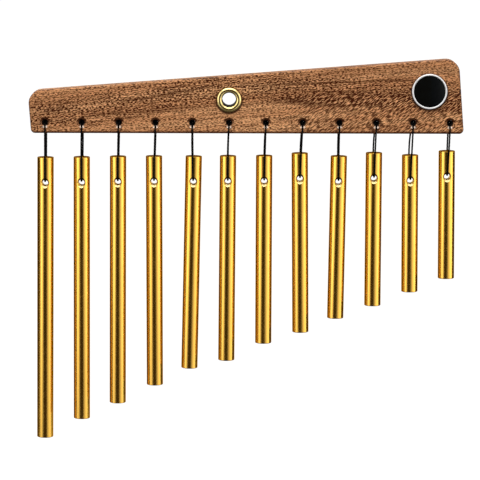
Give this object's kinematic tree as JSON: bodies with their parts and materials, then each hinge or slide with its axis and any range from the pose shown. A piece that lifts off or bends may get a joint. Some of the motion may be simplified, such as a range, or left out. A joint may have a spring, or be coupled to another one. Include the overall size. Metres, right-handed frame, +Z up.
{
  "type": "bar chimes",
  "caption": "Bar chimes: a tapered wooden beam with a hanging eyelet carries a row of graded gold rods on cord loops, which swing and ring when stroked.",
  "frame": {"origin": "middle of the eyelet's bore, half way through the beam's thickness", "axes": "+X along the beam towards the short rods, +Y out of the back of the beam along the eyelet's bore, +Z up; the badge faces -Y"},
  "size_m": [0.2503, 0.0159, 0.222],
  "materials": {
    "wood": "open-pored reddish-brown hardwood under a thin satin lacquer",
    "brass": "polished brass",
    "badge_metal": "bright chrome",
    "badge_black": "glossy black resin",
    "gold_bar": "satin gold anodised aluminium",
    "cord": "black braided nylon cord"
  },
  "bodies": {
    "beam": {"beam": "wood", "eyelet": "brass", "eyelet_washer": "brass", "badge_rim": "badge_metal", "badge_face": "badge_black"},
    "loop_01": {"cord_01": "cord"},
    "chime_01": {"bar_01": "gold_bar"},
    "loop_02": {"cord_02": "cord"},
    "chime_02": {"bar_02": "gold_bar"},
    "loop_03": {"cord_03": "cord"},
    "chime_03": {"bar_03": "gold_bar"},
    "loop_04": {"cord_04": "cord"},
    "chime_04": {"bar_04": "gold_bar"},
    "loop_05": {"cord_05": "cord"},
    "chime_05": {"bar_05": "gold_bar"},
    "loop_06": {"cord_06": "cord"},
    "chime_06": {"bar_06": "gold_bar"},
    "loop_07": {"cord_07": "cord"},
    "chime_07": {"bar_07": "gold_bar"},
    "loop_08": {"cord_08": "cord"},
    "chime_08": {"bar_08": "gold_bar"},
    "loop_09": {"cord_09": "cord"},
    "chime_09": {"bar_09": "gold_bar"},
    "loop_10": {"cord_10": "cord"},
    "chime_10": {"bar_10": "gold_bar"},
    "loop_11": {"cord_11": "cord"},
    "chime_11": {"bar_11": "gold_bar"},
    "loop_12": {"cord_12": "cord"},
    "chime_12": {"bar_12": "gold_bar"}
  },
  "joints": [
    {"name": "sway_01", "type": "hinge", "parent": "beam", "child": "loop_01", "pos_m": [-0.106, 0, -0.0134], "axis": [0, -1, 0], "range_deg": [-60, 3.7]},
    {"name": "swing_01", "type": "hinge", "parent": "loop_01", "child": "chime_01", "pos_m": [-0.106, 0, -0.0195], "axis": [1, 0, 0], "range_deg": [-60, 60], "deforming": ["cord_01"]},
    {"name": "sway_02", "type": "hinge", "parent": "beam", "child": "loop_02", "pos_m": [-0.0848, 0, -0.0134], "axis": [0, -1, 0], "range_deg": [-3.7, 3.8]},
    {"name": "swing_02", "type": "hinge", "parent": "loop_02", "child": "chime_02", "pos_m": [-0.0848, 0, -0.0195], "axis": [1, 0, 0], "range_deg": [-60, 60], "deforming": ["cord_02"]},
    {"name": "sway_03", "type": "hinge", "parent": "beam", "child": "loop_03", "pos_m": [-0.0636, 0, -0.0134], "axis": [0, -1, 0], "range_deg": [-3.8, 4.3]},
    {"name": "swing_03", "type": "hinge", "parent": "loop_03", "child": "chime_03", "pos_m": [-0.0636, 0, -0.0195], "axis": [1, 0, 0], "range_deg": [-60, 60], "deforming": ["cord_03"]},
    {"name": "sway_04", "type": "hinge", "parent": "beam", "child": "loop_04", "pos_m": [-0.0424, 0, -0.0134], "axis": [0, -1, 0], "range_deg": [-4.3, 4]},
    {"name": "swing_04", "type": "hinge", "parent": "loop_04", "child": "chime_04", "pos_m": [-0.0424, 0, -0.0195], "axis": [1, 0, 0], "range_deg": [-60, 60], "deforming": ["cord_04"]},
    {"name": "sway_05", "type": "hinge", "parent": "beam", "child": "loop_05", "pos_m": [-0.0212, 0, -0.0134], "axis": [0, -1, 0], "range_deg": [-4, 4.7]},
    {"name": "swing_05", "type": "hinge", "parent": "loop_05", "child": "chime_05", "pos_m": [-0.0212, 0, -0.0195], "axis": [1, 0, 0], "range_deg": [-60, 60], "deforming": ["cord_05"]},
    {"name": "sway_06", "type": "hinge", "parent": "beam", "child": "loop_06", "pos_m": [0, 0, -0.0134], "axis": [0, -1, 0], "range_deg": [-4.7, 5]},
    {"name": "swing_06", "type": "hinge", "parent": "loop_06", "child": "chime_06", "pos_m": [0, 0, -0.0195], "axis": [1, 0, 0], "range_deg": [-60, 60], "deforming": ["cord_06"]},
    {"name": "sway_07", "type": "hinge", "parent": "beam", "child": "loop_07", "pos_m": [0.0212, 0, -0.0134], "axis": [0, -1, 0], "range_deg": [-5.1, 5.4]},
    {"name": "swing_07", "type": "hinge", "parent": "loop_07", "child": "chime_07", "pos_m": [0.0212, 0, -0.0195], "axis": [1, 0, 0], "range_deg": [-60, 60], "deforming": ["cord_07"]},
    {"name": "sway_08", "type": "hinge", "parent": "beam", "child": "loop_08", "pos_m": [0.0424, 0, -0.0134], "axis": [0, -1, 0], "range_deg": [-5.4, 5.1]},
    {"name": "swing_08", "type": "hinge", "parent": "loop_08", "child": "chime_08", "pos_m": [0.0424, 0, -0.0195], "axis": [1, 0, 0], "range_deg": [-60, 60], "deforming": ["cord_08"]},
    {"name": "sway_09", "type": "hinge", "parent": "beam", "child": "loop_09", "pos_m": [0.0636, 0, -0.0134], "axis": [0, -1, 0], "range_deg": [-5.1, 6.1]},
    {"name": "swing_09", "type": "hinge", "parent": "loop_09", "child": "chime_09", "pos_m": [0.0636, 0, -0.0195], "axis": [1, 0, 0], "range_deg": [-60, 60], "deforming": ["cord_09"]},
    {"name": "sway_10", "type": "hinge", "parent": "beam", "child": "loop_10", "pos_m": [0.0848, 0, -0.0134], "axis": [0, -1, 0], "range_deg": [-6.1, 6.5]},
    {"name": "swing_10", "type": "hinge", "parent": "loop_10", "child": "chime_10", "pos_m": [0.0848, 0, -0.0195], "axis": [1, 0, 0], "range_deg": [-60, 60], "deforming": ["cord_10"]},
    {"name": "sway_11", "type": "hinge", "parent": "beam", "child": "loop_11", "pos_m": [0.106, 0, -0.0134], "axis": [0, -1, 0], "range_deg": [-6.6, 7]},
    {"name": "swing_11", "type": "hinge", "parent": "loop_11", "child": "chime_11", "pos_m": [0.106, 0, -0.0195], "axis": [1, 0, 0], "range_deg": [-60, 60], "deforming": ["cord_11"]},
    {"name": "sway_12", "type": "hinge", "parent": "beam", "child": "loop_12", "pos_m": [0.1272, 0, -0.0134], "axis": [0, -1, 0], "range_deg": [-7.1, 60]},
    {"name": "swing_12", "type": "hinge", "parent": "loop_12", "child": "chime_12", "pos_m": [0.1272, 0, -0.0195], "axis": [1, 0, 0], "range_deg": [-60, 60], "deforming": ["cord_12"]}
  ]
}
